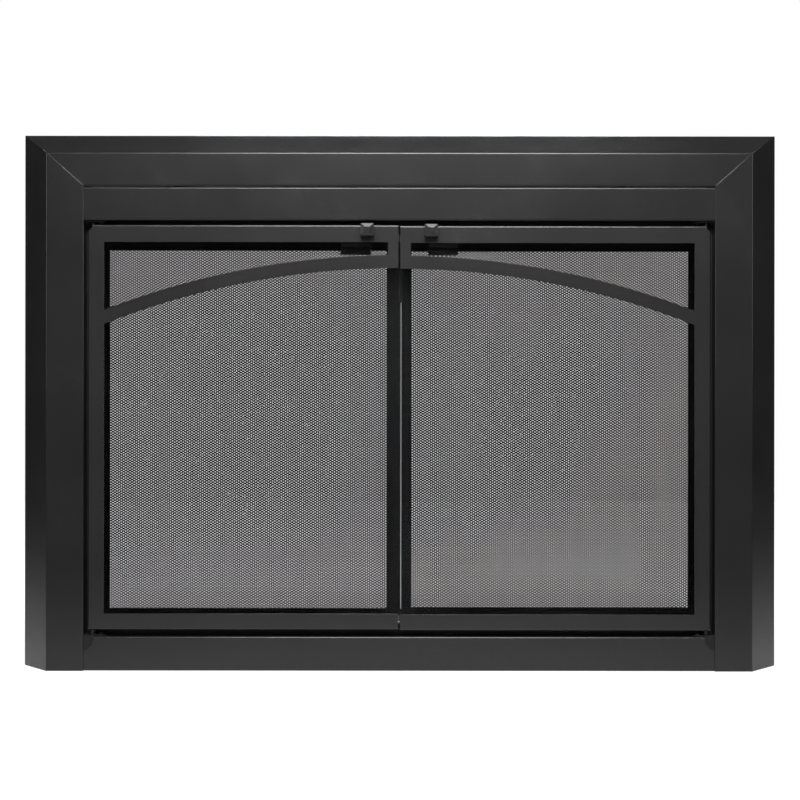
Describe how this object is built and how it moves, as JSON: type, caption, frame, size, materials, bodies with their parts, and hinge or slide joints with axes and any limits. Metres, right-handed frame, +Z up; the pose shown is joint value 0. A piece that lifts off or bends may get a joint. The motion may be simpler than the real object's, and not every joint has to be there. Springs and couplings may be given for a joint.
{
  "type": "fireplace glass door",
  "caption": "Black bevelled steel fireplace surround with glazed pivot doors, an arched overlay, square knobs and sliding mesh screens behind the glass.",
  "frame": {"origin": "on the hearth under the middle of the opening, in the plane where the surround's rear flange meets the wall", "axes": "+X to the right seen from the room, +Y into the fireplace, +Z up"},
  "size_m": [1.1052, 0.128, 0.78],
  "materials": {
    "powder_black": "satin black powder coat, fine texture",
    "frame_black": "matt black paint",
    "smoked_glass": "smoked tempered glass, polished",
    "mesh_black": "matt black painted expanded steel",
    "zinc": "zinc plated",
    "black_zinc": "black plated steel",
    "gasket": "woven glass-fibre tape",
    "nylon": "moulded black plastic"
  },
  "bodies": {
    "surround": {"surround_header": "powder_black", "surround_left": "powder_black", "surround_right": "powder_black", "header_band": "powder_black", "sill": "powder_black", "corner_gusset_left": "frame_black", "corner_gusset_right": "frame_black", "mesh_track_top": "frame_black", "mesh_track_bottom": "frame_black", "upper_pivot_bracket_left": "frame_black", "upper_pivot_bracket_right": "frame_black", "lower_pivot_bracket_left": "frame_black", "lower_pivot_bracket_right": "frame_black", "lintel_clamp_left": "frame_black", "lintel_clamp_right": "frame_black", "floor_bracket_left": "frame_black", "floor_bracket_right": "frame_black", "gusset_nuts": "zinc", "frame_screws": "zinc", "track_screws": "zinc", "pivot_bracket_screws": "zinc", "catch_magnets": "zinc", "catch_screws": "zinc", "clamp_screws": "zinc", "anchor_screws": "zinc", "lower_pivot_stud_left": "black_zinc", "lower_pivot_stud_right": "black_zinc", "catch_body_left": "nylon", "catch_body_right": "nylon"},
    "door_left": {"door_frame_left": "powder_black", "door_glass_left": "smoked_glass", "glass_gasket_left": "gasket", "glass_clips_left": "zinc", "clip_nuts_left": "zinc", "knob_left": "powder_black", "knob_screw_left": "zinc", "strike_plate_left": "black_zinc", "pin_housing_left": "frame_black", "pin_spring_left": "zinc", "pivot_ear_left": "frame_black"},
    "door_right": {"door_frame_right": "powder_black", "door_glass_right": "smoked_glass", "glass_gasket_right": "gasket", "glass_clips_right": "zinc", "clip_nuts_right": "zinc", "knob_right": "powder_black", "knob_screw_right": "zinc", "strike_plate_right": "black_zinc", "pin_housing_right": "frame_black", "pin_spring_right": "zinc", "pivot_ear_right": "frame_black"},
    "pin_left": {"upper_pin_left": "black_zinc"},
    "pin_right": {"upper_pin_right": "black_zinc"},
    "mesh_left": {"mesh_frame_left": "mesh_black", "mesh_net_left": "mesh_black", "mesh_glides_left": "nylon", "mesh_seam_plates": "mesh_black"},
    "mesh_right": {"mesh_frame_right": "mesh_black", "mesh_net_right": "mesh_black", "mesh_glides_right": "nylon"}
  },
  "joints": [
    {"name": "door_left_hinge", "type": "hinge", "parent": "surround", "child": "door_left", "pos_m": [-0.444, -0.0465, 0.35], "axis": [0, 0, -1], "range_deg": [0, 95]},
    {"name": "door_right_hinge", "type": "hinge", "parent": "surround", "child": "door_right", "pos_m": [0.444, -0.0465, 0.35], "axis": [0, 0, 1], "range_deg": [0, 95]},
    {"name": "upper_pin_left_slide", "type": "slide", "parent": "door_left", "child": "pin_left", "axis": [0, 0, -1], "range_m": [0, 0.009], "stiffness_N_per_m": 500, "springref_m": -0.006, "deforming": ["pin_spring_left"]},
    {"name": "upper_pin_right_slide", "type": "slide", "parent": "door_right", "child": "pin_right", "axis": [0, 0, -1], "range_m": [0, 0.009], "stiffness_N_per_m": 500, "springref_m": -0.006, "deforming": ["pin_spring_right"]},
    {"name": "mesh_left_slide", "type": "slide", "parent": "surround", "child": "mesh_left", "axis": [1, 0, 0], "range_m": [0, 0.4]},
    {"name": "mesh_right_slide", "type": "slide", "parent": "surround", "child": "mesh_right", "axis": [-1, 0, 0], "range_m": [0, 0.4]}
  ]
}
